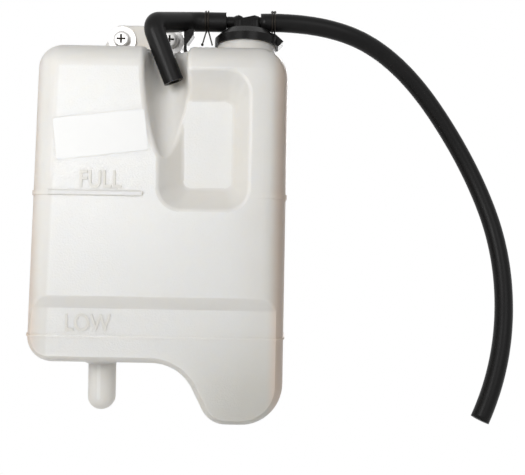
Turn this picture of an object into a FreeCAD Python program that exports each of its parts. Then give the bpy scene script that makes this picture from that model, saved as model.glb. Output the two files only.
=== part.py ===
# Coolant expansion tank: a blow-moulded tank with a push-on cap, two hoses and a fixing bracket.
# Millimetres. The origin is the root of the locating peg, on its axis.
# +X is to the right seen from the front, +Y to the back, +Z up.

import FreeCAD, Part
import math
import os
import re

import Sketcher

V = FreeCAD.Vector

SIZES = {
    # Locating peg under the tank
    "peg_radius": 9.6,
    "peg_length": 33.4,
    "peg_skirt_radius": 20.0,
    "peg_skirt_lip": 1.4,
    "floor_rise": 5.0,
    # Tank outline seen from the front
    "body_left": 38.2,
    "left_flare": 5.6,
    "body_right": 127.0,
    "body_height": 211.0,
    "sump_depth": 40.0,
    "sump_toe": 78.2,
    "sump_heel": 58.2,
    "top_left_round": 17.0,
    "top_right_round": 20.0,
    "sump_right_round": 27.5,
    "sump_toe_round": 18.0,
    "sump_heel_round": 30.0,
    "bottom_left_round": 17.0,
    # How far a cutting form stands out past what it cuts
    "cut_lead": 10.0,
    # Tank depth and wall
    "half_depth": 40.0,
    "edge_round": 15.0,
    "wall": 2.2,
    # Lower front panel, set back under a sloping step
    "low_recess": 3.5,
    "step_height": 37.0,
    "step_slope": 8.0,
    # Level beads
    "bead_proud": 0.8,
    "full_level": 112.0,
    "full_bead_width": 3.0,
    "full_bead_left_end": 34.0,
    "full_bead_right_start": 107.5,
    "low_level": 18.4,
    "low_bead_width": 1.4,
    # Front pocket
    "pocket_depth": 14.0,
    "pocket_left": 43.6,
    "pocket_width": 58.7,
    "pocket_bottom": 102.0,
    "pocket_height": 91.0,
    "pocket_round": 15.0,
    "pocket_side_slope": 10.5,
    "pocket_left_slope": 14.0,
    "pocket_bottom_slope": 14.0,
    "pocket_top_slope": 17.0,
    "pocket_floor_round": 6.0,
    "pocket_lead": 1.0,
    "soft_edge": 3.5,
    # Hose channel in the front, from the tank's top down into the pocket
    "channel_x": 47.5,
    "channel_radius": 13.2,
    "channel_top_depth": 24.0,
    "channel_mid_depth": 22.5,
    "channel_mid_drop": 28.0,
    "channel_end_depth": 3.0,
    "channel_end_radius": 6.0,
    "channel_end_drop": 78.0,
    "channel_end_shift": 4.0,
    # Filler neck
    "neck_x": 98.3,
    "neck_radius": 20.4,
    "neck_wall": 2.4,
    "neck_height": 11.5,
    # Cap
    "seal_thickness": 1.5,
    "cap_fit": 0.3,
    "cap_skirt_wall": 1.7,
    "cap_overlap": 3.5,
    "cap_top_wall": 5.2,
    "cap_top_taper": 5.0,
    "cap_top_inset": 5.0,
    "lug_reach": 3.6,
    "lug_width": 12.0,
    "lug_height": 9.0,
    "lug_point": 3.6,
    # Hose nipples on the cap
    "nipple_radius": 4.0,
    "nipple_bore": 2.4,
    "nipple_rise": 8.0,
    "nipple_spread": 6.0,
    "nipple_reach": 30.0,
    "stub_radius": 5.0,
    "web_thickness": 8.0,
    "web_rise": 4.2,
    "web_dip": 1.9,
    "web_dip_shift": 2.6,
    # Dip tube under the right nipple
    "dip_radius": 4.0,
    "dip_wall": 1.2,
    "dip_socket_wall": 1.5,
    "dip_socket_depth": 12.0,
    "dip_floor_gap": 9.0,
    # Hoses
    "hose_radius": 6.3,
    "hose_start": 10.0,
    "elbow_radius": 6.7,
    "elbow_start": 14.3,
    "elbow_straight": 24.0,
    "elbow_forward": 32.0,
    "elbow_drop": 12.0,
    "elbow_ease": 14.0,
    "elbow_bend": 7.0,
    "leg_left": 11.2,
    "leg_right": 14.9,
    "leg_back": 5.0,
    "leg_drop": 37.6,
    # Spring-wire clamps
    "clamp_wire": 0.6,
    "clamp_bite": 0.25,
    "clamp_turn": 0.9,
    "elbow_clamp_x": 27.9,
    "hose_clamp_x": 18.9,
    "clamp_ear_drop": 9.0,
    "clamp_ear_splay": 2.6,
    "clamp_ear": 0.5,
    "clamp_knob": 1.0,
    # Fixing tab, bracket and fasteners
    "tab_front": 12.0,
    "tab_plate": 4.5,
    "tab_left": 12.0,
    "tab_slant": 15.5,
    "tab_right": 50.0,
    "tab_height": 26.8,
    "tab_round": 5.0,
    "screw_left": 7.6,
    "screw_pitch": 35.0,
    "screw_height": 15.6,
    "screw_radius": 3.0,
    "screw_length": 18.0,
    "screw_head_radius": 6.0,
    "screw_head_height": 4.0,
    "screw_head_round": 2.2,
    "recess_length": 6.4,
    "recess_width": 1.4,
    "recess_depth": 2.2,
    "hole_fit": 0.3,
    "washer_radius": 10.0,
    "washer_thickness": 1.6,
    "nut_width": 10.0,
    "nut_thickness": 5.0,
    "bracket_plate": 2.0,
    "bracket_bend": 2.4,
    "bracket_drop": 1.0,
    "bracket_foot_gap": 3.5,
    "bracket_reach": 44.0,
    "bracket_hole_radius": 3.5,
    "bracket_hole_pitch": 33.3,
    "bracket_hole_inset": 9.0,
    # Hose clip on the tank's top
    "clip_left": 55.0,
    "clip_foot": 3.8,
    "clip_stem": 2.2,
    "clip_width": 7.0,
    "clip_depth": 7.0,
    "clip_forward": 6.0,
    "clip_shelf": 5.0,
    "clip_rise": 3.5,
    "clip_fit": 0.3,
}

doc = FreeCAD.newDocument("coolant_expansion_tank")
sheet = doc.addObject("Spreadsheet::Sheet", "Sheet")
for row, (alias, size) in enumerate(SIZES.items(), start=1):
    sheet.set("A%d" % row, alias)
    sheet.set("B%d" % row, str(size))
    sheet.setAlias("B%d" % row, alias)
doc.recompute()

# Heights and places that several pieces share, as formulas on the sheet's cells
FORMULAS = {
    "body_top": "(floor_rise + body_height)",
    "sump_floor": "(floor_rise - sump_depth)",
    "neck_top": "(body_top + neck_height)",
    "cap_under": "(neck_top + seal_thickness)",
    "cap_top": "(cap_under + cap_top_wall)",
    "nipple_axis": "(cap_top + nipple_rise)",
    "dip_x": "(neck_x + nipple_spread)",
    "screw_z": "(body_top + screw_height)",
    "bracket_front": "(tab_front + tab_plate)",
    "bracket_top": "(body_top + tab_height - bracket_drop)",
    "elbow_end": "(neck_x - elbow_start)",
    "hose_end": "(neck_x + hose_start)",
    "cap_rim": "(neck_top - cap_overlap)",
    "cap_radius": "(neck_radius + cap_fit + cap_skirt_wall)",
    "cap_shoulder": "(cap_top - cap_top_taper)",
    "elbow_ring": "(elbow_radius + clamp_wire - clamp_bite)",
    "hose_ring": "(hose_radius + clamp_wire - clamp_bite)",
}

# Bends of the long hose: right, back and up from where it starts on the nipple
HOSE_BENDS = [
    (0, 0, 0),
    (47.8, 0, 0),
    (107.1, 23.2, -21.6),
    (159.8, 33.0, -92.2),
    (182.7, 17.9, -164.1),
    (173.4, -6.4, -240.8),
    (155.2, -13.7, -274.9),
]
# How much of the shorter straight run each bend takes up
BEND_SHARE = 0.45
# Two heights or depths closer than this are one
SAME = 0.01


def cells(text):
    """A formula in plain names, with every name replaced by its sheet cell."""
    def swap(match):
        word = match.group()
        if word in FORMULAS:
            return cells(FORMULAS[word])
        return "Sheet." + word if word in SIZES else word
    return re.sub(r"[a-z][a-z_]*", swap, text)


def value(text):
    return float(sheet.evalExpression(cells(text)))


def bind(thing, **formulas):
    for name, text in formulas.items():
        thing.setExpression(name.replace("__", "."), cells(text))


def place(thing, x="0", y="0", z="0"):
    bind(thing, Placement__Base__x=x, Placement__Base__y=y, Placement__Base__z=z)
    return thing


def new_body(name):
    return doc.addObject("PartDesign::Body", name)


def new_sketch(body, name, plane, offset="0"):
    """A sketch on one of the body's own origin planes, moved along the plane's normal."""
    sketch = body.newObject("Sketcher::SketchObject", name)
    support = [part for part in body.Origin.OriginFeatures if part.Role == plane][0]
    sketch.AttachmentSupport = [(support, "")]
    sketch.MapMode = "FlatFace"
    bind(sketch, AttachmentOffset__Base__z=offset)
    doc.recompute()
    return sketch


def fix_point(sketch, geometry, position, x, y):
    """Tie a sketch point to its two coordinates."""
    for kind, text in (("DistanceX", x), ("DistanceY", y)):
        number = sketch.addConstraint(Sketcher.Constraint(kind, -1, 1, geometry, position, value(text)))
        sketch.setExpression("Constraints[%d]" % number, cells(text))


def fix_radius(sketch, geometry, radius):
    number = sketch.addConstraint(Sketcher.Constraint("Radius", geometry, value(radius)))
    sketch.setExpression("Constraints[%d]" % number, cells(radius))


def circle(sketch, x, y, radius):
    shape = Part.Circle(V(value(x), value(y), 0), V(0, 0, 1), value(radius))
    geometry = sketch.addGeometry(shape, False)
    fix_point(sketch, geometry, 3, x, y)
    fix_radius(sketch, geometry, radius)


def outline(sketch, corners):
    """A closed outline through corners (x, y, radius), each rounded where it has a radius."""
    count = len(corners)
    points = [V(value(x), value(y), 0) for x, y, radius in corners]
    enters, leaves, centres = [], [], []
    for i, (x, y, radius) in enumerate(corners):
        before = (points[i - 1] - points[i]).normalize()
        after = (points[(i + 1) % count] - points[i]).normalize()
        if radius is None:
            enters.append(points[i])
            leaves.append(points[i])
            centres.append(None)
            continue
        half = before.getAngle(after) / 2
        reach = value(radius) / math.tan(half)
        enters.append(points[i] + before * reach)
        leaves.append(points[i] + after * reach)
        middle = (before + after).normalize()
        centres.append(points[i] + middle * (value(radius) / math.sin(half)))
    lines = []
    for i in range(count):
        following = (i + 1) % count
        lines.append(sketch.addGeometry(Part.LineSegment(leaves[i], enters[following]), False))
    for i, (x, y, radius) in enumerate(corners):
        incoming, outgoing = lines[i - 1], lines[i]
        if radius is None:
            sketch.addConstraint(Sketcher.Constraint("Coincident", incoming, 2, outgoing, 1))
            fix_point(sketch, outgoing, 1, x, y)
            continue
        left_turn = (points[i] - points[i - 1]).cross(points[(i + 1) % count] - points[i]).z > 0
        first, last = (enters[i], leaves[i]) if left_turn else (leaves[i], enters[i])
        ring = Part.Circle(centres[i], V(0, 0, 1), value(radius))
        arc = Part.ArcOfCircle(ring, ring.parameter(first), ring.parameter(last))
        bend = sketch.addGeometry(arc, False)
        mark = sketch.addGeometry(Part.Point(points[i]), True)
        fix_point(sketch, mark, 1, x, y)
        sketch.addConstraint(Sketcher.Constraint("PointOnObject", mark, 1, incoming))
        sketch.addConstraint(Sketcher.Constraint("PointOnObject", mark, 1, outgoing))
        starts, ends = (1, 2) if left_turn else (2, 1)
        sketch.addConstraint(Sketcher.Constraint("Tangent", incoming, 2, bend, starts))
        sketch.addConstraint(Sketcher.Constraint("Tangent", bend, ends, outgoing, 1))
        fix_radius(sketch, bend, radius)
    doc.recompute()


def pad(body, sketch, length, symmetric=False, reversed_way=False):
    feature = body.newObject("PartDesign::Pad", body.Name + "_pad")
    feature.Profile = sketch
    feature.SideType = "Symmetric" if symmetric else "One side"
    feature.Reversed = reversed_way
    bind(feature, Length=length)
    doc.recompute()
    return feature


def pocket(body, sketch, length, reversed_way=False):
    feature = body.newObject("PartDesign::Pocket", body.Name + "_pocket")
    feature.Profile = sketch
    feature.Reversed = reversed_way
    bind(feature, Length=length)
    doc.recompute()
    return feature


def fillet(body, base, edges, radius):
    feature = body.newObject("PartDesign::Fillet", body.Name + "_round")
    feature.Base = (base, edges)
    bind(feature, Radius=radius)
    doc.recompute()
    return feature


def edges_where(shape, test):
    return ["Edge%d" % (i + 1) for i, edge in enumerate(shape.Edges) if test(edge)]


def boolean(kind, name, *things):
    feature = doc.addObject("Part::" + kind, name)
    if kind == "Cut":
        feature.Base, feature.Tool = things
    else:
        feature.Shapes = list(things)
    doc.recompute()
    return feature


def box(name, x, y, z, length, width, height):
    feature = doc.addObject("Part::Box", name)
    bind(feature, Length=length, Width=width, Height=height)
    return place(feature, x, y, z)


def cylinder(name, x, y, z, radius, height, axis="z"):
    feature = doc.addObject("Part::Cylinder", name)
    turns = {"z": (V(0, 0, 1), 0), "x": (V(0, 1, 0), 90), "y": (V(1, 0, 0), -90)}
    feature.Placement = FreeCAD.Placement(V(), FreeCAD.Rotation(*turns[axis]))
    bind(feature, Radius=radius, Height=height)
    return place(feature, x, y, z)


def sphere(name, x, y, z, radius):
    feature = doc.addObject("Part::Sphere", name)
    bind(feature, Radius=radius)
    return place(feature, x, y, z)


def offset(name, source, distance):
    feature = doc.addObject("Part::Offset", name)
    feature.Source = source
    bind(feature, Value=distance)
    doc.recompute()
    return feature


def tank_blank():
    """The whole tank without its pocket, channel and step: an outline with rounded edges."""
    body = new_body("tank_blank")
    sketch = new_sketch(body, "tank_outline", "XZ_Plane")
    outline(sketch, [
        ("-body_left", "body_top", "top_left_round"),
        ("-(body_left + left_flare)", "floor_rise", "bottom_left_round"),
        ("sump_heel", "floor_rise", "sump_heel_round"),
        ("sump_toe", "sump_floor", "sump_toe_round"),
        ("body_right", "sump_floor", "sump_right_round"),
        ("body_right", "body_top", "top_right_round"),
    ])
    slab = pad(body, sketch, "2 * half_depth", symmetric=True)
    depth = value("half_depth")
    rims = edges_where(slab.Shape, lambda edge: all(
        abs(abs(vertex.Y) - depth) < SAME for vertex in edge.Vertexes) and edge.BoundBox.YLength < SAME)
    fillet(body, slab, rims, "edge_round")
    return body


def pocket_form(name, grow):
    """The front pocket as a solid with sloping walls, grown by a wall for the inside."""
    body = new_body(name)
    mouth = new_sketch(body, name + "_mouth", "XZ_Plane", "half_depth + pocket_lead")
    floor = new_sketch(body, name + "_floor", "XZ_Plane", "half_depth - pocket_depth - %s" % grow)
    sides = {
        "left": ("pocket_left", "pocket_left_slope", "-"),
        "right": ("pocket_left + pocket_width", "-pocket_side_slope", "+"),
        "bottom": ("floor_rise + pocket_bottom", "pocket_bottom_slope", "-"),
        "top": ("floor_rise + pocket_bottom + pocket_height", "-pocket_top_slope", "+"),
    }
    for sketch, share, radius in ((mouth, "-pocket_lead / pocket_depth", "pocket_round"),
                                  (floor, "1", "pocket_floor_round")):
        at = {side: "%s + (%s) * (%s) %s %s" % (edge, slope, share, sign, grow)
              for side, (edge, slope, sign) in sides.items()}
        radius = "%s + %s" % (radius, grow)
        outline(sketch, [
            (at["left"], at["bottom"], radius),
            (at["right"], at["bottom"], radius),
            (at["right"], at["top"], radius),
            (at["left"], at["top"], radius),
        ])
    loft = body.newObject("PartDesign::AdditiveLoft", name + "_loft")
    loft.Profile = mouth
    loft.Sections = [floor]
    loft.Ruled = True
    doc.recompute()
    return body


def channel_form(name, grow):
    """The hose channel: round-backed sections that grow shallower from the tank's top down."""
    body = new_body(name)
    lead = "half_depth + 2 * cut_lead"
    stations = [
        ("body_top + cut_lead", "channel_x", "channel_radius", "channel_top_depth"),
        ("body_top - channel_mid_drop", "channel_x", "channel_radius", "channel_mid_depth"),
        ("body_top - channel_end_drop", "channel_x + channel_end_shift",
         "channel_end_radius", "channel_end_depth"),
    ]
    sketches = []
    for number, (height, x, radius, depth) in enumerate(stations):
        sketch = new_sketch(body, "%s_%d" % (name, number), "XY_Plane", height)
        radius = "(%s + %s)" % (radius, grow)
        back = "(%s + %s - half_depth)" % (depth, grow)
        half_arc = "(%s - %s)" % (back, radius)
        left, right = "%s - %s" % (x, radius), "%s + %s" % (x, radius)
        first, last = V(value(left), value(half_arc), 0), V(value(right), value(half_arc), 0)
        far_left, far_right = V(first.x, -value(lead), 0), V(last.x, -value(lead), 0)
        ring = Part.Circle(V(value(x), value(half_arc), 0), V(0, 0, 1), value(radius))
        side_right = sketch.addGeometry(Part.LineSegment(far_right, last), False)
        arc = sketch.addGeometry(Part.ArcOfCircle(ring, 0, math.pi), False)
        side_left = sketch.addGeometry(Part.LineSegment(first, far_left), False)
        front = sketch.addGeometry(Part.LineSegment(far_left, far_right), False)
        sketch.addConstraint(Sketcher.Constraint("Tangent", side_right, 2, arc, 1))
        sketch.addConstraint(Sketcher.Constraint("Tangent", arc, 2, side_left, 1))
        sketch.addConstraint(Sketcher.Constraint("Coincident", side_left, 2, front, 1))
        sketch.addConstraint(Sketcher.Constraint("Coincident", front, 2, side_right, 1))
        sketch.addConstraint(Sketcher.Constraint("Horizontal", front))
        sketch.addConstraint(Sketcher.Constraint("Vertical", side_left))
        fix_point(sketch, arc, 3, x, half_arc)
        fix_radius(sketch, arc, radius)
        drop = sketch.addConstraint(Sketcher.Constraint("DistanceY", -1, 1, front, 1, -value(lead)))
        sketch.setExpression("Constraints[%d]" % drop, cells("-(%s)" % lead))
        doc.recompute()
        sketches.append(sketch)
    loft = body.newObject("PartDesign::AdditiveLoft", name + "_loft")
    loft.Profile = sketches[0]
    loft.Sections = sketches[1:]
    doc.recompute()
    return body


def step_form(name, shift):
    """What is cut away in front of the lower panel, with the sloping step at its top."""
    body = new_body(name)
    sketch = new_sketch(body, name + "_profile", "YZ_Plane", "-2 * body_left")
    clear = "(half_depth + cut_lead)"
    below = "sump_floor - cut_lead"
    panel = "-(half_depth - low_recess %s)" % shift
    face = "-(half_depth %s)" % shift
    top = "floor_rise + step_height + step_slope"
    outline(sketch, [
        (panel, "floor_rise + step_height", None),
        (face, top, None),
        ("-" + clear, top, None),
        ("-" + clear, below, None),
        (panel, below, None),
    ])
    pad(body, sketch, "4 * body_left + body_right")
    return body


def peg_form(name, grow):
    """The locating peg with its tapered skirt and round tip, smaller by a wall for the inside."""
    radius = "peg_radius - " + grow
    skirt = doc.addObject("Part::Cone", name + "_skirt")
    bind(skirt, Radius1=radius + " + peg_skirt_lip", Radius2="peg_skirt_radius - " + grow,
         Height="floor_rise")
    return boolean(
        "MultiFuse", name, skirt,
        cylinder(name + "_shank", "0", "0", "peg_radius - peg_length", radius,
                 "peg_length - peg_radius + floor_rise"),
        sphere(name + "_tip", "0", "0", "peg_radius - peg_length", radius),
        cylinder(name + "_root", "0", "0", "floor_rise", "peg_skirt_radius - " + grow, "edge_round"))


def fixing_tab():
    """The flat tab that stands on the tank's top and takes the two screws."""
    body = new_body("fixing_tab")
    sketch = new_sketch(body, "tab_outline", "XZ_Plane", "-(tab_front + tab_plate)")
    low = "body_top - edge_round"
    high = "body_top + tab_height"
    outline(sketch, [
        ("-tab_left", low, None),
        ("tab_right", low, None),
        ("tab_right", high, "tab_round"),
        ("tab_slant - tab_left", high, "tab_round"),
        ("-tab_left", "body_top", None),
    ])
    for shift in ("0", "screw_pitch"):
        circle(sketch, "screw_left + " + shift, "screw_z", "screw_radius + hole_fit")
    pad(body, sketch, "tab_plate")
    return body


def soft_edges(name, source):
    """Round the edges of the pocket, the channel and the step, as blow moulding leaves them."""
    front = value("-half_depth")
    floor = value("pocket_depth - half_depth")
    top = value("body_top")
    flat_top = value("body_top - edge_round")
    left = value("channel_x - 2 * channel_radius")
    pocket_right = value("pocket_left + pocket_width + soft_edge")
    pocket_low = value("floor_rise + pocket_bottom - pocket_bottom_slope")
    channel_right = value("channel_x + 2 * channel_radius")
    step_top = value("floor_rise + step_height + step_slope")
    step_low = value("floor_rise + step_height")

    def is_soft(edge):
        span = edge.BoundBox
        on_front = span.YMax - front < SAME
        if span.XLength > value("sump_heel") and span.YMax < floor:
            return span.ZMin > step_low - SAME and span.ZMax < step_top + SAME
        if span.XMin < left or span.XMax > pocket_right or span.ZMin < pocket_low or span.YMax > 0:
            return False
        if on_front:
            return span.ZMin < flat_top - SAME
        if abs(span.YMin - floor) < SAME and abs(span.YMax - floor) < SAME:
            return True
        if span.XMax > channel_right:
            return False
        on_top = top - span.ZMin < SAME
        crosses_round = span.ZMin > flat_top - SAME and span.YMin - front < SAME
        between = span.XMin > value("channel_x - channel_radius / 2") and span.YMin > front - SAME
        return on_top or crosses_round or (between and span.YMax < value("-edge_round"))

    feature = doc.addObject("Part::Fillet", name)
    feature.Base = source
    radius = value("soft_edge")
    feature.Edges = [(i + 1, radius, radius) for i, edge in enumerate(source.Shape.Edges) if is_soft(edge)]
    doc.recompute()
    return feature


def tank_body():
    blank = tank_blank()
    inside = offset("tank_inside", blank, "-wall")
    step = step_form("step_cut", "+ 0")
    inner_step = step_form("inner_step_cut", "- wall")
    hollow = boolean("Cut", "tank_hollow", inside, boolean(
        "MultiFuse", "inner_forms", inner_step, pocket_form("inner_pocket", "wall"),
        channel_form("inner_channel", "wall")))
    neck = cylinder("neck", "neck_x", "0", "body_top - edge_round", "neck_radius",
                    "edge_round + neck_height")
    bore = cylinder("neck_bore", "neck_x", "0", "body_top - edge_round", "neck_radius - neck_wall",
                    "edge_round + neck_height + cut_lead")
    shaped = boolean("Cut", "tank_shaped", blank, boolean(
        "MultiFuse", "outer_forms", step, pocket_form("front_pocket", "0"),
        channel_form("hose_channel", "0")))
    bead_skin = boolean("Cut", "bead_skin", offset("bead_offset", blank, "bead_proud"),
                        step_form("bead_step", "+ bead_proud"))
    wide = "body_left + left_flare + body_right"
    start = "-(body_left + left_flare + cut_lead)"
    front = "-(half_depth + cut_lead)"
    deep = "half_depth + cut_lead"
    full_z = "floor_rise + full_level - full_bead_width / 2"
    low_z = "floor_rise + low_level - low_bead_width / 2"
    slabs = boolean(
        "MultiFuse", "bead_slabs",
        box("full_left", start, front, full_z, "full_bead_left_end - (%s)" % start, deep,
            "full_bead_width"),
        box("full_right", "full_bead_right_start", front, full_z, wide, deep, "full_bead_width"),
        box("low_line", start, front, low_z, wide + " + 2 * cut_lead", deep, "low_bead_width"))
    beads = doc.addObject("Part::MultiCommon", "level_beads")
    beads.Shapes = [bead_skin, slabs]
    doc.recompute()
    soft = soft_edges("tank_soft", shaped)
    outside = boolean("MultiFuse", "tank_outside", soft, neck, peg_form("peg", "0"), fixing_tab(), beads)
    space = boolean("MultiFuse", "tank_space", hollow, bore, peg_form("peg_hollow", "wall"))
    return boolean("Cut", "tank_body", outside, space)


def filler_cap():
    """The push-on cap with its thumb tab, two nipples and the socket for the dip tube."""
    skirt = cylinder("cap_skirt", "neck_x", "0", "cap_rim", "cap_radius", "cap_shoulder - cap_rim")
    crown = doc.addObject("Part::Cone", "cap_crown")
    bind(crown, Radius1="cap_radius", Radius2="cap_radius - cap_top_inset", Height="cap_top - cap_shoulder")
    place(crown, "neck_x", "0", "cap_shoulder")
    lug = new_body("thumb_lug")
    sketch = new_sketch(lug, "lug_outline", "XZ_Plane")
    outline(sketch, [
        ("neck_x", "cap_rim", None),
        ("neck_x + cap_radius", "cap_rim", None),
        ("neck_x + cap_radius + lug_reach", "cap_rim + lug_point", None),
        ("neck_x + cap_radius - cap_top_inset / 2", "cap_rim + lug_height", None),
        ("neck_x", "cap_rim + lug_height", None),
    ])
    pad(lug, sketch, "lug_width", symmetric=True)
    web = new_body("nipple_web")
    sketch = new_sketch(web, "web_outline", "XZ_Plane")
    outline(sketch, [
        ("neck_x - nipple_spread", "cap_under", None),
        ("neck_x + nipple_spread", "cap_under", None),
        ("neck_x + nipple_spread", "nipple_axis + web_rise", None),
        ("neck_x - web_dip_shift", "nipple_axis + web_rise - web_dip", None),
        ("neck_x - nipple_spread", "nipple_axis + web_rise", None),
    ])
    pad(web, sketch, "web_thickness", symmetric=True)
    solid = [skirt, crown, lug, web]
    bores = [cylinder("cap_bore", "neck_x", "0", "cap_rim", "neck_radius + cap_fit", "cap_under - cap_rim")]
    for side, x in (("left", "neck_x - nipple_spread"), ("right", "dip_x")):
        root = x if side == "right" else "neck_x - nipple_reach"
        length = "nipple_reach - nipple_spread"
        solid.append(cylinder(side + "_stub", x, "0", "cap_under", "stub_radius", "nipple_axis - cap_under"))
        solid.append(sphere(side + "_corner", x, "0", "nipple_axis", "stub_radius"))
        solid.append(cylinder(side + "_nipple", root, "0", "nipple_axis", "nipple_radius", length, "x"))
        bores.append(cylinder(side + "_rise", x, "0", "cap_under", "nipple_bore", "nipple_axis - cap_under"))
        bores.append(sphere(side + "_turn", x, "0", "nipple_axis", "nipple_bore"))
        bores.append(cylinder(side + "_way", root, "0", "nipple_axis", "nipple_bore", length, "x"))
    shell = boolean("Cut", "cap_shell", boolean("MultiFuse", "cap_solid", *solid),
                    boolean("MultiFuse", "cap_bores", *bores))
    socket = boolean(
        "Cut", "dip_socket",
        cylinder("socket_outside", "dip_x", "0", "cap_under - dip_socket_depth",
                 "dip_radius + dip_socket_wall", "dip_socket_depth"),
        cylinder("socket_bore", "dip_x", "0", "cap_under - dip_socket_depth", "dip_radius",
                 "dip_socket_depth"))
    return boolean("MultiFuse", "filler_cap", shell, socket)


def ring(name, x, y, z, outer, inner, height, axis="z"):
    return boolean("Cut", name, cylinder(name + "_outside", x, y, z, outer, height, axis),
                   cylinder(name + "_bore", x, y, z, inner, height, axis))


def rounded_path(points, radii):
    """Straight runs through the points, joined by tangent arcs of the given radii."""
    edges = []
    here = points[0]
    for i, radius in enumerate(radii, start=1):
        before, after = points[i] - points[i - 1], points[i + 1] - points[i]
        half = before.getAngle(after) / 2
        reach = radius * math.tan(half)
        into, out = V(before).normalize(), V(after).normalize()
        enter, leave = points[i] - into * reach, points[i] + out * reach
        inward = (out - into).normalize()
        middle = points[i] + inward * (radius / math.cos(half) - radius)
        edges.append(Part.LineSegment(here, enter).toShape())
        edges.append(Part.Arc(enter, middle, leave).toShape())
        here = leave
    edges.append(Part.LineSegment(here, points[-1]).toShape())
    return Part.Wire(edges)


def tube(name, points, radii, outside):
    """A hose along a rounded path, with a bore that fits the cap's nipples."""
    wire = rounded_path(points, radii)
    walls = []
    for radius in (outside, "nipple_radius"):
        section = Part.Wire(Part.Circle(points[0], points[1] - points[0], value(radius)).toShape())
        walls.append(wire.makePipeShell([section], True, False))
    feature = doc.addObject("Part::Feature", name)
    feature.Shape = walls[0].cut(walls[1])
    area = math.pi * (value(outside) ** 2 - value("nipple_radius") ** 2)
    print(name, "length", round(wire.Length, 1), "bend radii", [round(radius, 1) for radius in radii],
          "volume share", round(feature.Shape.Volume / area / wire.Length, 4))
    return feature


def elbow_points():
    """Along the cap's left nipple, forward and down to the corner, then the leg down in the channel."""
    start = V(value("elbow_end"), 0, value("nipple_axis"))
    ease = start - V(value("elbow_straight"), 0, 0)
    corner = V(value("channel_x - leg_left"), -value("elbow_forward"), ease.z - value("elbow_drop"))
    end = corner + V(value("leg_right"), value("leg_back"), -value("leg_drop"))
    return [start, ease, corner, end]


def overflow_elbow():
    radii = [value("elbow_ease"), value("elbow_bend")]
    return tube("overflow_elbow", elbow_points(), radii, "elbow_radius")


def radiator_hose():
    """The long hose: along the cap's right nipple, then over to the right and down to its cut end."""
    start = V(value("hose_end"), 0, value("nipple_axis"))
    points = [start + V(*bend) for bend in HOSE_BENDS]
    radii = []
    for first, corner, last in zip(points, points[1:], points[2:]):
        before, after = corner - first, last - corner
        reach = BEND_SHARE * min(before.Length, after.Length)
        radii.append(reach / math.tan(before.getAngle(after) / 2))
    return tube("radiator_hose", points, radii, "hose_radius")


def wire_rings(name, x, ring_radius):
    """Two turns of spring wire round a hose, joined by a short bridge behind it."""
    turns = []
    for side, sign in (("left", "-"), ("right", "+")):
        torus = doc.addObject("Part::Torus", "%s_%s" % (name, side))
        torus.Placement = FreeCAD.Placement(V(), FreeCAD.Rotation(V(0, 1, 0), 90))
        bind(torus, Radius1=ring_radius, Radius2="clamp_wire")
        turns.append(place(torus, "%s %s clamp_turn" % (x, sign), "0", "nipple_axis"))
    turns.append(box(name + "_bridge", x + " - clamp_turn", ring_radius + " - clamp_wire / 2",
                     "nipple_axis - clamp_wire / 2", "2 * clamp_turn", "clamp_wire", "clamp_wire"))
    return turns


def elbow_clamp():
    """The clamp on the elbow, with its two ears hanging down, one with a knob."""
    x = "neck_x - elbow_clamp_x"
    parts = wire_rings("elbow_clamp", x, "elbow_ring")
    high = "nipple_axis - elbow_ring"
    low = "nipple_axis - elbow_ring - clamp_ear_drop"
    for side, sign, knob in (("left", "-", "clamp_knob"), ("right", "+", "clamp_wire")):
        root = "%s %s clamp_turn" % (x, sign)
        tip = "%s %s clamp_ear_splay" % (root, sign)
        reach = V(value(tip) - value(root), 0, value(low) - value(high))
        ear = doc.addObject("Part::Cylinder", side + "_ear")
        ear.Placement = FreeCAD.Placement(V(), FreeCAD.Rotation(V(0, 0, 1), reach))
        bind(ear, Radius="clamp_ear", Height="sqrt(clamp_ear_drop ^ 2 + clamp_ear_splay ^ 2)")
        parts.append(place(ear, root, "0", high))
        parts.append(sphere(side + "_ear_knob", tip, "0", low, knob))
    return boolean("MultiFuse", "elbow_clamp", *parts)


def hose_clamp():
    """The clamp on the long hose, with its ears folded into two knobs on top."""
    x = "neck_x + hose_clamp_x"
    parts = wire_rings("hose_clamp", x, "hose_ring")
    high = "nipple_axis + hose_ring + clamp_knob"
    for side, sign in (("left", "-"), ("right", "+")):
        parts.append(sphere("clamp_knob_" + side, "%s %s clamp_turn" % (x, sign), "0", high, "clamp_knob"))
    return boolean("MultiFuse", "hose_clamp", *parts)


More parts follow.
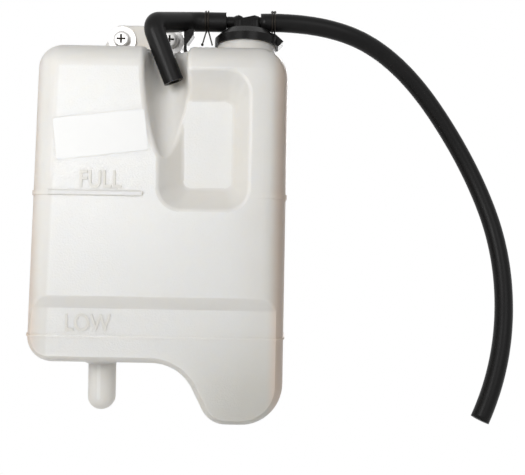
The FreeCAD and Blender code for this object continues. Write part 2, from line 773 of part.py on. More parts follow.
def mounting_bracket():
    """The bent steel plate behind the tab: screw holes in its face, bolt holes in its shelf."""
    body = new_body("bracket_sheet")
    sketch = new_sketch(body, "bracket_profile", "YZ_Plane", "-tab_left")
    inner = "bracket_front + bracket_plate"
    under = "bracket_top - bracket_plate"
    foot = "body_top + bracket_foot_gap"
    outline(sketch, [
        ("bracket_front", foot, None),
        (inner, foot, None),
        (inner, under, "bracket_bend"),
        ("bracket_front + bracket_reach", under, None),
        ("bracket_front + bracket_reach", "bracket_top", None),
        ("bracket_front", "bracket_top", "bracket_bend + bracket_plate"),
    ])
    pad(body, sketch, "tab_left + tab_right")
    face = new_sketch(body, "screw_holes", "XZ_Plane", "-(%s)" % inner)
    shelf = new_sketch(body, "bolt_holes", "XY_Plane", "bracket_top")
    middle = "screw_left + screw_pitch / 2"
    back = "bracket_front + bracket_reach - bracket_hole_inset"
    for sign in ("-", "+"):
        circle(face, "%s %s screw_pitch / 2" % (middle, sign), "screw_z", "screw_radius + hole_fit")
        circle(shelf, "%s %s bracket_hole_pitch / 2" % (middle, sign), back, "bracket_hole_radius")
    doc.recompute()
    pocket(body, face, "bracket_plate", reversed_way=True)
    pocket(body, shelf, "bracket_plate")
    slant = new_body("bracket_slant")
    corner = new_sketch(slant, "slant_outline", "XZ_Plane", "-(bracket_front + bracket_reach)")
    outline(corner, [
        ("-tab_left", "body_top", None),
        ("tab_slant - tab_left", "body_top + tab_height", None),
        ("-tab_left", "body_top + tab_height", None),
    ])
    pad(slant, corner, "bracket_reach")
    return boolean("Cut", "mounting_bracket", body, slant)


def screw(number, x):
    """One pan-head screw with a cross recess, lying along Y."""
    name = "screw_%d" % number
    head_front = "tab_front - washer_thickness - screw_head_height"
    body = new_body(name)
    face = new_sketch(body, name + "_head", "XZ_Plane", "-(tab_front - washer_thickness)")
    circle(face, x, "screw_z", "screw_head_radius")
    doc.recompute()
    head = pad(body, face, "screw_head_height")
    front = value(head_front)
    rim = edges_where(head.Shape, lambda edge: abs(edge.BoundBox.YMax - front) < SAME)
    fillet(body, head, rim, "screw_head_round")
    recess = new_sketch(body, name + "_cross", "XZ_Plane", "-(%s)" % head_front)
    long_half, short_half = "recess_length / 2", "recess_width / 2"
    arms = [(long_half, short_half), (short_half, short_half), (short_half, long_half)]
    signs = [("+", "+"), ("-", "+"), ("-", "-"), ("+", "-")]
    corners = []
    for turn, (sign_x, sign_z) in enumerate(signs):
        ordered = arms if turn % 2 == 0 else arms[::-1]
        for reach_x, reach_z in ordered:
            corners.append(("%s %s %s" % (x, sign_x, reach_x), "screw_z %s %s" % (sign_z, reach_z), None))
    outline(recess, corners)
    pocket(body, recess, "recess_depth")
    shank = cylinder(name + "_shank", x, "tab_front - washer_thickness", "screw_z", "screw_radius",
                     "screw_length", "y")
    return boolean("MultiFuse", name + "_whole", body, shank)


def nut(number, x):
    name = "nut_%d" % number
    back = "bracket_front + bracket_plate"
    block = box(name + "_block", x + " - nut_width / 2", back, "screw_z - nut_width / 2",
                "nut_width", "nut_thickness", "nut_width")
    bore = cylinder(name + "_bore", x, back, "screw_z", "screw_radius", "nut_thickness", "y")
    return boolean("Cut", name, block, bore)


def pair(name, make):
    """Two alike pieces, one for each screw."""
    feature = doc.addObject("Part::Compound", name)
    feature.Links = [make(1, "screw_left"), make(2, "screw_left + screw_pitch")]
    doc.recompute()
    return feature


def washer(number, x):
    return ring("washer_%d" % number, x, "tab_front - washer_thickness", "screw_z", "washer_radius",
                "screw_radius + hole_fit", "washer_thickness", "y")


def hose_clip():
    """The small saddle that stands on the tank's top under the elbow."""
    body = new_body("hose_clip_form")
    sketch = new_sketch(body, "clip_outline", "XZ_Plane", "clip_forward")
    start, ease, corner, end = elbow_points()
    shelf = "nipple_axis - elbow_radius - clip_shelf"
    arm = shelf + " + clip_rise"
    outline(sketch, [
        ("clip_left", "body_top", None),
        ("clip_left + clip_foot", "body_top", None),
        ("clip_left + clip_stem", "body_top + clip_foot", None),
        ("clip_left + clip_stem", shelf + " - clip_width", None),
        ("clip_left + clip_width", shelf, None),
        ("clip_left + clip_width", arm, None),
        ("clip_left", arm, None),
    ])
    pad(body, sketch, "clip_depth", symmetric=True)
    run = corner - ease
    way = doc.addObject("Part::Cylinder", "clip_way")
    bind(way, Radius="elbow_radius + clip_fit", Height="elbow_straight + elbow_end - channel_x")
    way.Placement = FreeCAD.Placement(ease - V(run).normalize() * value("elbow_straight"),
                                      FreeCAD.Rotation(V(0, 0, 1), run))
    doc.recompute()
    return boolean("Cut", "hose_clip", body, way)


PIECES = [
    tank_body(),
    filler_cap(),
    ring("cap_seal", "neck_x", "0", "neck_top", "neck_radius", "neck_radius - neck_wall", "seal_thickness"),
    ring("dip_tube", "dip_x", "0", "sump_floor + wall + dip_floor_gap", "dip_radius", "dip_radius - dip_wall",
         "cap_under - sump_floor - wall - dip_floor_gap"),
    overflow_elbow(),
    radiator_hose(),
    elbow_clamp(),
    hose_clamp(),
    mounting_bracket(),
    pair("bracket_screws", screw),
    pair("bracket_washers", washer),
    pair("weld_nuts", nut),
    hose_clip(),
]


def save(pieces):
    doc.recompute()
    for thing in doc.Objects:
        if "Invalid" in thing.State or "Error" in thing.State:
            raise RuntimeError("%s did not build" % thing.Name)
    for piece in pieces:
        if piece.Shape.isNull() or not piece.Shape.isValid():
            raise RuntimeError("%s has no valid shape" % piece.Label)
    os.makedirs("parts", exist_ok=True)
    for piece in pieces:
        piece.Shape.exportStep("parts/%s.step" % piece.Label)
        print(piece.Label, len(piece.Shape.Solids), "solids", round(piece.Shape.Volume), "mm3")


save(PIECES)
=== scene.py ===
import math

import bmesh
import bpy
from mathutils import Matrix, Vector


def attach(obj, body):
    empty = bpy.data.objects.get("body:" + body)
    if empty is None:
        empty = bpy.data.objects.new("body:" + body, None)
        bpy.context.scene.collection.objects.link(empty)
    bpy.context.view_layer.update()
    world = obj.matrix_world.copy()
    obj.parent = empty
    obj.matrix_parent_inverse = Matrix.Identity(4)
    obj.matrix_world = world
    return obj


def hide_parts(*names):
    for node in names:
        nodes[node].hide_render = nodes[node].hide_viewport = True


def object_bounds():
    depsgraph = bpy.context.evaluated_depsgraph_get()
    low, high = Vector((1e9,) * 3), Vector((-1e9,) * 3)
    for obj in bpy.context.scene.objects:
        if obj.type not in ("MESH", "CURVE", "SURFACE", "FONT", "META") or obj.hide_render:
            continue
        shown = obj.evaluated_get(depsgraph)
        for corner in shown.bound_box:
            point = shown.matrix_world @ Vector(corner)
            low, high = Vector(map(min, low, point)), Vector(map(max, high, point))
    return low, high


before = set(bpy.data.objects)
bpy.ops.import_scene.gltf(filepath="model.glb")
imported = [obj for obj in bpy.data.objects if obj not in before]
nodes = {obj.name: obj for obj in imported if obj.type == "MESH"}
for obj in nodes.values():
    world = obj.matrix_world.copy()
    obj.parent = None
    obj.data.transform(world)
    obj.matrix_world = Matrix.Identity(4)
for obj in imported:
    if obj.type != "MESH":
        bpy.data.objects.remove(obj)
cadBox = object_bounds()
print("frame loaded:", len(nodes), "nodes")


# Camera and white studio

shot = {
    "place": (0.112, -0.440, 0.090),
    "lens": 42.5,
    "sensor": 36.0,
    "nearest": 0.01,
    "roll": 1.0,        # degrees, the right side sits lower
}


def addCamera():
    camera = bpy.data.objects.new("photoCamera", bpy.data.cameras.new("photoCamera"))
    camera.data.lens = shot["lens"]
    camera.data.sensor_width = shot["sensor"]
    camera.data.clip_start = shot["nearest"]
    camera.rotation_mode = "QUATERNION"
    turn = Matrix.Rotation(math.pi / 2, 4, "X") @ Matrix.Rotation(math.radians(shot["roll"]), 4, "Z")
    camera.location = shot["place"]
    camera.rotation_quaternion = turn.to_quaternion()
    bpy.context.scene.collection.objects.link(camera)
    bpy.context.scene.camera = camera


studio = {
    "floorDrop": 0.02,       # below the lowest point
    "floorSize": 6.0,
    "paper": (0.9, 0.9, 0.9),
    "paperRough": 0.9,
    "lamps": {               # place, aim, watts, size
        "keyFront": ((-0.115, -0.445, 0.22), (0.0, 0, 0.14), 1.5, 0.22),
        "fillLeft": ((-0.90, -0.30, 0.35), (0.0, 0, 0.10), 1.0, 0.5),
        "fillRight": ((0.42, -0.75, 0.45), (0.05, 0, 0.16), 1.3, 0.4),
        "fillBack": ((0.25, 0.90, 0.50), (0.05, 0, 0.10), 6.0, 0.6),
    },
    "sky": 0.10,             # light from all around
    "white": 1.0,            # the same sky where it is seen
}


def newObject(name, shape):
    mesh = bpy.data.meshes.new(name)
    shape.to_mesh(mesh)
    shape.free()
    piece = bpy.data.objects.new(name, mesh)
    bpy.context.scene.collection.objects.link(piece)
    return piece


def seenBackground(tree):
    # 1 where the eye, a reflection or a look through glass meets the background
    path = tree.nodes.new("ShaderNodeLightPath")
    first = tree.nodes.new("ShaderNodeMath")
    first.operation = "MAXIMUM"
    tree.links.new(path.outputs["Is Camera Ray"], first.inputs[0])
    tree.links.new(path.outputs["Is Glossy Ray"], first.inputs[1])
    both = tree.nodes.new("ShaderNodeMath")
    both.operation = "MAXIMUM"
    tree.links.new(first.outputs[0], both.inputs[0])
    tree.links.new(path.outputs["Is Transmission Ray"], both.inputs[1])
    return both.outputs[0]


def addStudio():
    shape = bmesh.new()
    bmesh.ops.create_grid(shape, x_segments=1, y_segments=1, size=studio["floorSize"] / 2)
    bmesh.ops.translate(shape, vec=(0, 0, cadBox[0].z - studio["floorDrop"]), verts=shape.verts)
    floor = newObject("studioFloor", shape)
    paper = bpy.data.materials.new("studioPaper")
    paper.use_nodes = True
    tree = paper.node_tree
    tree.nodes["Principled BSDF"].inputs["Base Color"].default_value = (*studio["paper"], 1)
    tree.nodes["Principled BSDF"].inputs["Roughness"].default_value = studio["paperRough"]
    glow = tree.nodes.new("ShaderNodeEmission")
    mix = tree.nodes.new("ShaderNodeMixShader")
    tree.links.new(seenBackground(tree), mix.inputs[0])
    tree.links.new(tree.nodes["Principled BSDF"].outputs[0], mix.inputs[1])
    tree.links.new(glow.outputs[0], mix.inputs[2])
    tree.links.new(mix.outputs[0], tree.nodes["Material Output"].inputs["Surface"])
    floor.data.materials.append(paper)
    for name, (place, aim, watts, size) in studio["lamps"].items():
        lamp = bpy.data.objects.new(name, bpy.data.lights.new(name, "AREA"))
        lamp.data.energy = watts
        lamp.data.size = size
        lamp.location = place
        lamp.rotation_mode = "QUATERNION"
        lamp.rotation_quaternion = (Vector(aim) - Vector(place)).to_track_quat("-Z", "Y")
        bpy.context.scene.collection.objects.link(lamp)
    world = bpy.data.worlds.new("studioWorld")
    bpy.context.scene.world = world
    world.use_nodes = True
    tree = world.node_tree
    strength = tree.nodes.new("ShaderNodeMix")
    tree.links.new(seenBackground(tree), strength.inputs[0])
    strength.inputs[2].default_value = studio["sky"]
    strength.inputs[3].default_value = studio["white"]
    background = tree.nodes["Background"]
    background.inputs["Color"].default_value = (1, 1, 1, 1)
    tree.links.new(strength.outputs[0], background.inputs["Strength"])
    bpy.context.scene.view_settings.view_transform = "Standard"
    print("studio set")


addCamera()
addStudio()


# Finishes

# Colour sockets of a Mix node, which share their names with its other sockets
mixColor = {"first": 6, "second": 7, "result": 2}


def newGroup(name, inputs, outputs):
    group = bpy.data.node_groups.new(name, "ShaderNodeTree")
    for label, start in inputs.items():
        kind = "NodeSocketColor" if isinstance(start, tuple) else "NodeSocketFloat"
        socket = group.interface.new_socket(name=label, in_out="INPUT", socket_type=kind)
        socket.default_value = start
    for label, kind in outputs.items():
        group.interface.new_socket(name=label, in_out="OUTPUT", socket_type=kind)
    return group, group.nodes.new("NodeGroupInput"), group.nodes.new("NodeGroupOutput")


def noise(tree, scale, detail, roughness):
    place = tree.nodes.new("ShaderNodeTexCoord")
    texture = tree.nodes.new("ShaderNodeTexNoise")
    texture.inputs["Detail"].default_value = detail
    texture.inputs["Roughness"].default_value = roughness
    tree.links.new(place.outputs["Object"], texture.inputs["Vector"])
    tree.links.new(scale, texture.inputs["Scale"])
    return texture.outputs["Fac"]


def makeMottle():
    # two tones in soft patches, and a roughness that wanders with them
    group, given, out = newGroup(
        "mottle",
        {"Tone": (0.5, 0.5, 0.5, 1), "Patch": (0.5, 0.5, 0.5, 1), "Scale": 40.0, "Rough": 0.5, "Spread": 0.1},
        {"Color": "NodeSocketColor", "Roughness": "NodeSocketFloat"})
    cloud = noise(group, given.outputs["Scale"], detail=4.0, roughness=0.55)
    mix = group.nodes.new("ShaderNodeMix")
    mix.data_type = "RGBA"
    group.links.new(cloud, mix.inputs["Factor"])
    group.links.new(given.outputs["Tone"], mix.inputs[mixColor["first"]])
    group.links.new(given.outputs["Patch"], mix.inputs[mixColor["second"]])
    group.links.new(mix.outputs[mixColor["result"]], out.inputs["Color"])
    wander = group.nodes.new("ShaderNodeMath")
    wander.operation = "MULTIPLY_ADD"
    group.links.new(cloud, wander.inputs[0])
    group.links.new(given.outputs["Spread"], wander.inputs[1])
    group.links.new(given.outputs["Rough"], wander.inputs[2])
    group.links.new(wander.outputs[0], out.inputs["Roughness"])
    return group


def makeGrain():
    # fine pebbled grain as a height
    group, given, out = newGroup("grain", {"Scale": 900.0}, {"Height": "NodeSocketFloat"})
    pebbles = noise(group, given.outputs["Scale"], detail=2.0, roughness=0.5)
    group.links.new(pebbles, out.inputs["Height"])
    return group


# Borders of the tank's grained panel, of the painted warm shade on its rounded sides and of the painted shade
# on its sump
panel = {
    "lean": 0.039,                   # the left border runs outward by this share going down
    "left": (-0.0302, -0.0278),      # where the grain starts and where it is full, at height zero
    "right": (0.120, 0.085),
    "top": (0.2006, 0.1986),
    "flat": (0.985, 0.9975),         # share of the face's normal along the depth
    # spans of the painted warm shade on the rounded left and right sides
    "leftSideShade": (-0.0300, -0.0430),
    "rightSideShade": (0.1150, 0.1240),
    "sumpShadeAcross": (0.030, 0.110),    # painted shade on the sump, darker and darker toward its lower right
    "sumpShadeDown": (0.050, -0.030),
}


def fade(group, value, span):
    # from 0 to 1 over the span, in an even curve
    step = group.nodes.new("ShaderNodeMapRange")
    step.interpolation_type = "SMOOTHSTEP"
    group.links.new(value, step.inputs["Value"])
    step.inputs["From Min"].default_value = span[0]
    step.inputs["From Max"].default_value = span[1]
    return step.outputs["Result"]


def times(group, first, second):
    both = group.nodes.new("ShaderNodeMath")
    both.operation = "MULTIPLY"
    group.links.new(first, both.inputs[0])
    group.links.new(second, both.inputs[1])
    return both.outputs[0]


def makeZones():
    # Grained: the flat panel of the front and back. Side: painted warm shade on the rounded left and right
    # sides. Sump: painted shade, darker toward the sump's lower right
    names = ("Grained", "Side", "SumpShade")
    group, _, out = newGroup("zones", {}, {name: "NodeSocketFloat" for name in names})
    place = group.nodes.new("ShaderNodeTexCoord")
    spot = group.nodes.new("ShaderNodeSeparateXYZ")
    group.links.new(place.outputs["Object"], spot.inputs[0])
    facing = group.nodes.new("ShaderNodeSeparateXYZ")
    group.links.new(place.outputs["Normal"], facing.inputs[0])
    forward = group.nodes.new("ShaderNodeMath")
    forward.operation = "ABSOLUTE"
    group.links.new(facing.outputs["Y"], forward.inputs[0])
    border = group.nodes.new("ShaderNodeMath")
    border.operation = "MULTIPLY_ADD"
    border.inputs[1].default_value = -panel["lean"]
    group.links.new(spot.outputs["Z"], border.inputs[0])
    group.links.new(spot.outputs["X"], border.inputs[2])
    grained = fade(group, forward.outputs[0], panel["flat"])
    grained = times(group, grained, fade(group, border.outputs[0], panel["left"]))
    grained = times(group, grained, fade(group, spot.outputs["X"], panel["right"]))
    grained = times(group, grained, fade(group, spot.outputs["Z"], panel["top"]))
    group.links.new(grained, out.inputs["Grained"])
    # painted warm shade on the rounded sides
    side = group.nodes.new("ShaderNodeMath")
    side.operation = "MAXIMUM"
    group.links.new(fade(group, spot.outputs["X"], panel["leftSideShade"]), side.inputs[0])
    group.links.new(fade(group, spot.outputs["X"], panel["rightSideShade"]), side.inputs[1])
    group.links.new(side.outputs[0], out.inputs["Side"])
    # painted shade, darker toward the sump's lower right
    sumpShade = times(group, fade(group, spot.outputs["X"], panel["sumpShadeAcross"]),
                 fade(group, spot.outputs["Z"], panel["sumpShadeDown"]))
    group.links.new(sumpShade, out.inputs["SumpShade"])
    return group


mottle = makeMottle()
grain = makeGrain()
zones = makeZones()


# Values of a finish that names none of its own
common = {"roughSpread": 0.1, "grainDepth": 0.0002, "metal": 0.0, "gloss": 0.5,
          "milk": 0.0, "milkTint": (1.0, 0.9, 0.75), "milkDepth": 0.004}


def makeFinish(name, given):
    look = {**common, **given}
    finish = bpy.data.materials.new(name)
    finish.use_nodes = True
    tree = finish.node_tree
    shader = tree.nodes["Principled BSDF"]
    patches = tree.nodes.new("ShaderNodeGroup")
    patches.node_tree = mottle
    patches.inputs["Tone"].default_value = (*look["tone"], 1)
    patches.inputs["Patch"].default_value = (*look["patch"], 1)
    patches.inputs["Scale"].default_value = look["patchScale"]
    patches.inputs["Rough"].default_value = look["rough"]
    patches.inputs["Spread"].default_value = look["roughSpread"]
    color = patches.outputs["Color"]
    # the grained panel's lighter tone is partly the whiter look of its grain and partly painted sheen
    if "frostAndSheen" in look:
        areas = tree.nodes.new("ShaderNodeGroup")
        areas.node_tree = zones
        for area, tone in (("Grained", look["frostAndSheen"]), ("SumpShade", look["sumpShadeTone"]), ("Side", look["side"])):
            blend = tree.nodes.new("ShaderNodeMix")
            blend.data_type = "RGBA"
            blend.inputs[mixColor["second"]].default_value = (*tone, 1)
            tree.links.new(areas.outputs[area], blend.inputs["Factor"])
            tree.links.new(color, blend.inputs[mixColor["first"]])
            color = blend.outputs[mixColor["result"]]
    tree.links.new(color, shader.inputs["Base Color"])
    tree.links.new(patches.outputs["Roughness"], shader.inputs["Roughness"])
    pebbles = tree.nodes.new("ShaderNodeGroup")
    pebbles.node_tree = grain
    pebbles.inputs["Scale"].default_value = look["grainScale"]
    bump = tree.nodes.new("ShaderNodeBump")
    bump.inputs["Strength"].default_value = look["grainStrength"]
    bump.inputs["Distance"].default_value = look["grainDepth"]
    height = pebbles.outputs["Height"]
    if "frostAndSheen" in look:
        height = times(tree, height, areas.outputs["Grained"])
    tree.links.new(height, bump.inputs["Height"])
    tree.links.new(bump.outputs["Normal"], shader.inputs["Normal"])
    shader.inputs["Metallic"].default_value = look["metal"]
    shader.inputs["Specular IOR Level"].default_value = look["gloss"]
    shader.inputs["Subsurface Weight"].default_value = look["milk"]
    shader.inputs["Subsurface Radius"].default_value = look["milkTint"]
    shader.inputs["Subsurface Scale"].default_value = look["milkDepth"]
    return finish


finishes = {
    # tankMilk: its lighter panel tone is partly the grain's frost and partly painted sheen
    "tankMilk": {"tone": (0.74, 0.70, 0.645), "patch": (0.79, 0.755, 0.695), "patchScale": 25.0,
                 "rough": 0.34, "roughSpread": 0.12, "grainScale": 900.0, "grainStrength": 1.0, "gloss": 0.4,
                 # the warm side tone is painted shade on the rounded sides
                 "milk": 0.7, "milkDepth": 0.008, "frostAndSheen": (0.84, 0.81, 0.755), "side": (0.68, 0.55, 0.46),
                 # the darker sump tone is painted shade
                 "sumpShadeTone": (0.60, 0.58, 0.53)},
    # darker tone that paints the shade on the level letters and on the bead's slopes
    "tankMarkShade": {"tone": (0.70, 0.67, 0.61), "patch": (0.76, 0.73, 0.67), "patchScale": 60.0,
                 "rough": 0.45, "grainScale": 1400.0, "grainStrength": 0.1, "gloss": 0.25, "milk": 0.3},
    "stickerPaper": {"tone": (0.77, 0.77, 0.76), "patch": (0.79, 0.79, 0.78), "patchScale": 80.0,
                     "rough": 0.5, "grainScale": 2500.0, "grainStrength": 0.05, "gloss": 0.3},
    "tubeMilk": {"tone": (0.78, 0.76, 0.70), "patch": (0.82, 0.80, 0.74), "patchScale": 60.0,
                 "rough": 0.4, "grainScale": 900.0, "grainStrength": 0.05, "gloss": 0.4, "milk": 0.3},
    "capBlack": {"tone": (0.004, 0.004, 0.004), "patch": (0.008, 0.0075, 0.0075), "patchScale": 140.0,
                 "rough": 0.20, "roughSpread": 0.15, "grainScale": 1500.0, "grainStrength": 0.12,
                 "gloss": 0.12},
    "hoseRubber": {"tone": (0.005, 0.005, 0.005), "patch": (0.010, 0.0095, 0.0095), "patchScale": 110.0,
                   "rough": 0.28, "roughSpread": 0.2, "grainScale": 1100.0, "grainStrength": 0.15,
                   "gloss": 0.13},
    "springWire": {"tone": (0.012, 0.011, 0.010), "patch": (0.035, 0.028, 0.022), "patchScale": 260.0,
                   "rough": 0.4, "grainScale": 2000.0, "grainStrength": 0.1, "metal": 0.6, "gloss": 0.2},
    "zincPlate": {"tone": (0.56, 0.55, 0.54), "patch": (0.68, 0.67, 0.66), "patchScale": 160.0,
                  "rough": 0.36, "roughSpread": 0.2, "grainScale": 1700.0, "grainStrength": 0.12,
                  "metal": 0.85},
    # near-black tone of the painted shade in the screws' cross recesses
    "recessShadeBlack": {"tone": (0.020, 0.018, 0.016), "patch": (0.045, 0.040, 0.035), "patchScale": 600.0,
                 "rough": 0.8, "grainScale": 3000.0, "grainStrength": 0.2, "gloss": 0.1},
    "bracketZinc": {"tone": (0.55, 0.55, 0.54), "patch": (0.68, 0.68, 0.67), "patchScale": 90.0,
                    "rough": 0.35, "roughSpread": 0.2, "grainScale": 1400.0, "grainStrength": 0.12,
                    "metal": 0.9},
}
made = {name: makeFinish(name, look) for name, look in finishes.items()}

nodeFinish = {
    "tank_body": "tankMilk", "filler_cap": "capBlack", "cap_seal": "hoseRubber", "dip_tube": "tubeMilk",
    "overflow_elbow": "hoseRubber", "radiator_hose": "hoseRubber", "elbow_clamp": "springWire",
    "hose_clamp": "springWire", "mounting_bracket": "bracketZinc", "bracket_screws": "zincPlate",
    "bracket_washers": "zincPlate", "weld_nuts": "zincPlate", "hose_clip": "capBlack",
}


def setFinish(piece, name):
    piece.data.materials.clear()
    piece.data.materials.append(made[name])


for node, name in nodeFinish.items():
    setFinish(nodes[node], name)
print("finishes made:", len(made))


# Long hose, free from the cap's right nipple to its cut end

hose = {
    "start": (0.1083, 0, 0.2422),
    "bends": [(0, 0, 0), (0.0478, 0, 0.0018), (0.1071, 0.0232, -0.0216), (0.1598, 0.0330, -0.0922),
              (0.1827, 0.0179, -0.1641), (0.1734, -0.0064, -0.2408), (0.1552, -0.0137, -0.2749)],
    "outside": 0.0063,
    "bore": 0.0040,
    "sides": 32,
    "smooth": 24,          # steps from bend to bend
    "order": 3,            # how softly the route follows its bends
    "length": 0.3955,
}


def hoseRoute():
    curve = bpy.data.curves.new("hoseRoute", "CURVE")
    curve.dimensions = "3D"
    curve.resolution_u = hose["smooth"]
    spline = curve.splines.new("NURBS")
    spline.points.add(len(hose["bends"]) - 1)
    start = Vector(hose["start"])
    for point, bend in zip(spline.points, hose["bends"]):
        point.co = (*(start + Vector(bend)), 1)
    spline.order_u = hose["order"]
    spline.use_endpoint_u = True
    route = bpy.data.objects.new("hoseRoute", curve)
    bpy.context.scene.collection.objects.link(route)
    line = bpy.data.meshes.new_from_object(route)
    points = [vertex.co.copy() for vertex in line.vertices]
    bpy.data.objects.remove(route)
    return points


def addHose():
    points = hoseRoute()
    shape = bmesh.new()
    walls = []
    for radius in (hose["outside"], hose["bore"]):
        rings = []
        for i, point in enumerate(points):
            ahead = points[min(i + 1, len(points) - 1)] - points[max(i - 1, 0)]
            turn = ahead.to_track_quat("Z", "Y").to_matrix().to_4x4()
            ring = bmesh.ops.create_circle(shape, segments=hose["sides"], radius=radius,
                                           matrix=Matrix.Translation(point) @ turn)["verts"]
            rings.append(list({edge for vertex in ring for edge in vertex.link_edges}))
        for first, second in zip(rings, rings[1:]):
            bmesh.ops.bridge_loops(shape, edges=first + second)
        walls.append(rings)
    for end in (0, -1):
        bmesh.ops.bridge_loops(shape, edges=walls[0][end] + walls[1][end])
    bmesh.ops.recalc_face_normals(shape, faces=shape.faces)
    for face in shape.faces:
        face.smooth = True
    piece = newObject("radiatorHose", shape)
    setFinish(piece, "hoseRubber")
    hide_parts("radiator_hose")
    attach(piece, "cap")
    print("long hose made:", len(piece.data.polygons), "faces")


addHose()


# Level words and bar raised on the front, and a plain sticker

marks = {
    "FULL": {"centre": (0.0069, 0.1259), "width": 0.027, "height": 0.0115, "face": -0.0400},
    "LOW": {"centre": (-0.0006, 0.0327), "width": 0.030, "height": 0.0116, "face": -0.0365},
}
raised = {"proud": 0.00035, "sunk": 0.0004, "soften": 0.00012, "softenSteps": 1, "stroke": 0.012,
          "join": 1e-7}


def addMark(word, mark):
    text = bpy.data.curves.new("level" + word, "FONT")
    text.body = word
    text.extrude = (raised["proud"] + raised["sunk"]) / 2
    text.bevel_depth = raised["soften"]
    text.bevel_resolution = raised["softenSteps"]
    text.offset = raised["stroke"]
    writer = bpy.data.objects.new("levelWriter", text)
    bpy.context.scene.collection.objects.link(writer)
    flat = bpy.data.meshes.new_from_object(writer)
    bpy.data.objects.remove(writer)
    shape = bmesh.new()
    shape.from_mesh(flat)
    bpy.data.meshes.remove(flat)
    bmesh.ops.remove_doubles(shape, verts=shape.verts, dist=raised["join"])
    xs = [vertex.co.x for vertex in shape.verts]
    ys = [vertex.co.y for vertex in shape.verts]
    middle = Vector(((min(xs) + max(xs)) / 2, (min(ys) + max(ys)) / 2, 0))
    bmesh.ops.translate(shape, vec=-middle, verts=shape.verts)
    bmesh.ops.scale(shape, vec=(mark["width"] / (max(xs) - min(xs)), mark["height"] / (max(ys) - min(ys)), 1),
                    verts=shape.verts)
    bmesh.ops.rotate(shape, cent=(0, 0, 0), matrix=Matrix.Rotation(math.pi / 2, 3, "X"), verts=shape.verts)
    depth = mark["face"] + (raised["sunk"] - raised["proud"]) / 2
    bmesh.ops.translate(shape, vec=(mark["centre"][0], depth, mark["centre"][1]), verts=shape.verts)
    bmesh.ops.recalc_face_normals(shape, faces=shape.faces)
    piece = newObject("level" + word, shape)
    # the letters take the darker tone, painted shade on their edges
    setFinish(piece, "tankMarkShade")
    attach(piece, "tank")
    print("level mark made:", word)


sticker = {
    "centre": (0.0063, 0.1550),
    "size": (0.0595, 0.0265),
    "corner": 0.0015,
    "cornerSteps": 4,
    "thick": 0.00015,
    "turn": 7.0,           # degrees, right side up
    "face": -0.0400,
}


def addSticker():
    shape = bmesh.new()
    bmesh.ops.create_grid(shape, x_segments=1, y_segments=1, size=0.5)
    bmesh.ops.scale(shape, vec=(*sticker["size"], 1), verts=shape.verts)
    bmesh.ops.bevel(shape, geom=list(shape.verts), offset=sticker["corner"], offset_type="OFFSET",
                    segments=sticker["cornerSteps"], profile=0.5, affect="VERTICES", material=-1)
    bmesh.ops.solidify(shape, geom=list(shape.faces), thickness=sticker["thick"])
    bmesh.ops.rotate(shape, cent=(0, 0, 0), matrix=Matrix.Rotation(math.radians(sticker["turn"]), 3, "Z"),
                     verts=shape.verts)
    bmesh.ops.rotate(shape, cent=(0, 0, 0), matrix=Matrix.Rotation(math.pi / 2, 3, "X"), verts=shape.verts)
    lift = min(vertex.co.y for vertex in shape.verts) + sticker["thick"]
    bmesh.ops.translate(shape, vec=(sticker["centre"][0], sticker["face"] - lift, sticker["centre"][1]),
                        verts=shape.verts)
    bmesh.ops.recalc_face_normals(shape, faces=shape.faces)
    piece = newObject("plainSticker", shape)
    setFinish(piece, "stickerPaper")
    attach(piece, "tank")
    print("sticker made")


bead = {
    "left": -0.0270,
    "right": 0.0344,
    "height": 0.1170,
    "width": 0.0034,
    "proud": 0.0009,
    "sunk": 0.0006,
    "endRound": 0.00153,
    "endSteps": 6,
    "slope": 0.0007,
    "slopeSteps": 3,
    "face": -0.0400,
    "same": 1e-6,          # two places closer than this are one
    "facing": -0.99,       # the top looks forward by at least this share
}


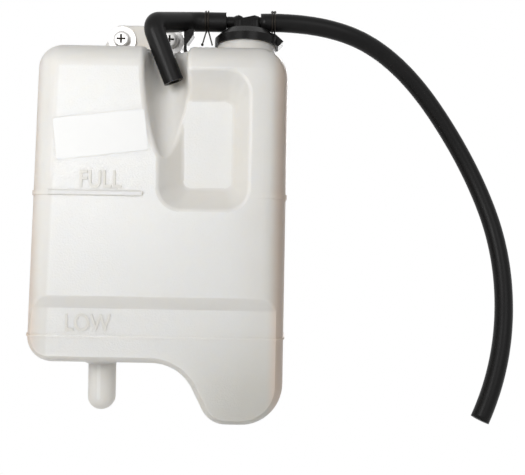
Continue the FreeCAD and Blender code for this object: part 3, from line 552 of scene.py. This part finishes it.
def addBead():
    # round right end, sloped sides, and a left end that runs out into the rounded side
    shape = bmesh.new()
    deep = bead["proud"] + bead["sunk"]
    front = bead["face"] - bead["proud"]
    middle = (bead["left"] + bead["right"]) / 2
    bmesh.ops.create_cube(shape, size=1)
    bmesh.ops.scale(shape, vec=(bead["right"] - bead["left"], deep, bead["width"]), verts=shape.verts)
    bmesh.ops.translate(shape, vec=(middle, front + deep / 2, bead["height"]), verts=shape.verts)
    corners = [edge for edge in shape.edges
               if all(abs(vertex.co.x - bead["right"]) < bead["same"] for vertex in edge.verts)
               and abs(edge.verts[0].co.y - edge.verts[1].co.y) > deep / 2]
    bmesh.ops.bevel(shape, geom=corners, offset=bead["endRound"], offset_type="OFFSET",
                    segments=bead["endSteps"], profile=0.5, affect="EDGES", material=-1)
    rim = [edge for edge in shape.edges if all(vertex.co.y < front + bead["same"] for vertex in edge.verts)]
    bmesh.ops.bevel(shape, geom=rim, offset=bead["slope"], offset_type="OFFSET",
                    segments=bead["slopeSteps"], profile=0.5, affect="EDGES", material=-1)
    bmesh.ops.recalc_face_normals(shape, faces=shape.faces)
    piece = newObject("fullBead", shape)
    # the bead's slopes take the darker tone as painted shade; its forward-looking top keeps the tank's finish
    setFinish(piece, "tankMarkShade")
    piece.data.materials.append(made["tankMilk"])
    for face in piece.data.polygons:
        face.material_index = 1 if face.normal.y < bead["facing"] else 0
    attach(piece, "tank")
    print("bead made")


for word, mark in marks.items():
    addMark(word, mark)
addSticker()
addBead()


# Painted shade: a near-black cross that stands in for the shade in the screws' cross recesses

screwRecessShade = {
    "centres": [(0.0076, 0.2316), (0.0426, 0.2316)],
    "long": 0.0063,
    "wide": 0.00136,
    "front": 0.0070,
    "back": 0.0085,
}


def addScrewRecessShade():
    shape = bmesh.new()
    tip, flank = screwRecessShade["long"] / 2, screwRecessShade["wide"] / 2
    arm = [Vector((tip, 0, -flank)), Vector((tip, 0, flank)), Vector((flank, 0, flank))]
    for x, z in screwRecessShade["centres"]:
        middle = Vector((x, screwRecessShade["front"], z))
        corners = []
        for quarter in range(4):
            turn = Matrix.Rotation(-quarter * math.pi / 2, 3, "Y")
            corners += [middle + turn @ corner for corner in arm]
        cross = shape.faces.new([shape.verts.new(corner) for corner in corners])
        grown = bmesh.ops.extrude_face_region(shape, geom=[cross])["geom"]
        back = [item for item in grown if isinstance(item, bmesh.types.BMVert)]
        bmesh.ops.translate(shape, vec=(0, screwRecessShade["back"] - screwRecessShade["front"], 0), verts=back)
    bmesh.ops.recalc_face_normals(shape, faces=shape.faces)
    piece = newObject("screwRecessShade", shape)
    setFinish(piece, "recessShadeBlack")
    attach(piece, "tank")
    print("screw recesses darkened")


addScrewRecessShade()


def writeSizes():
    print("no sizes written")


writeSizes()
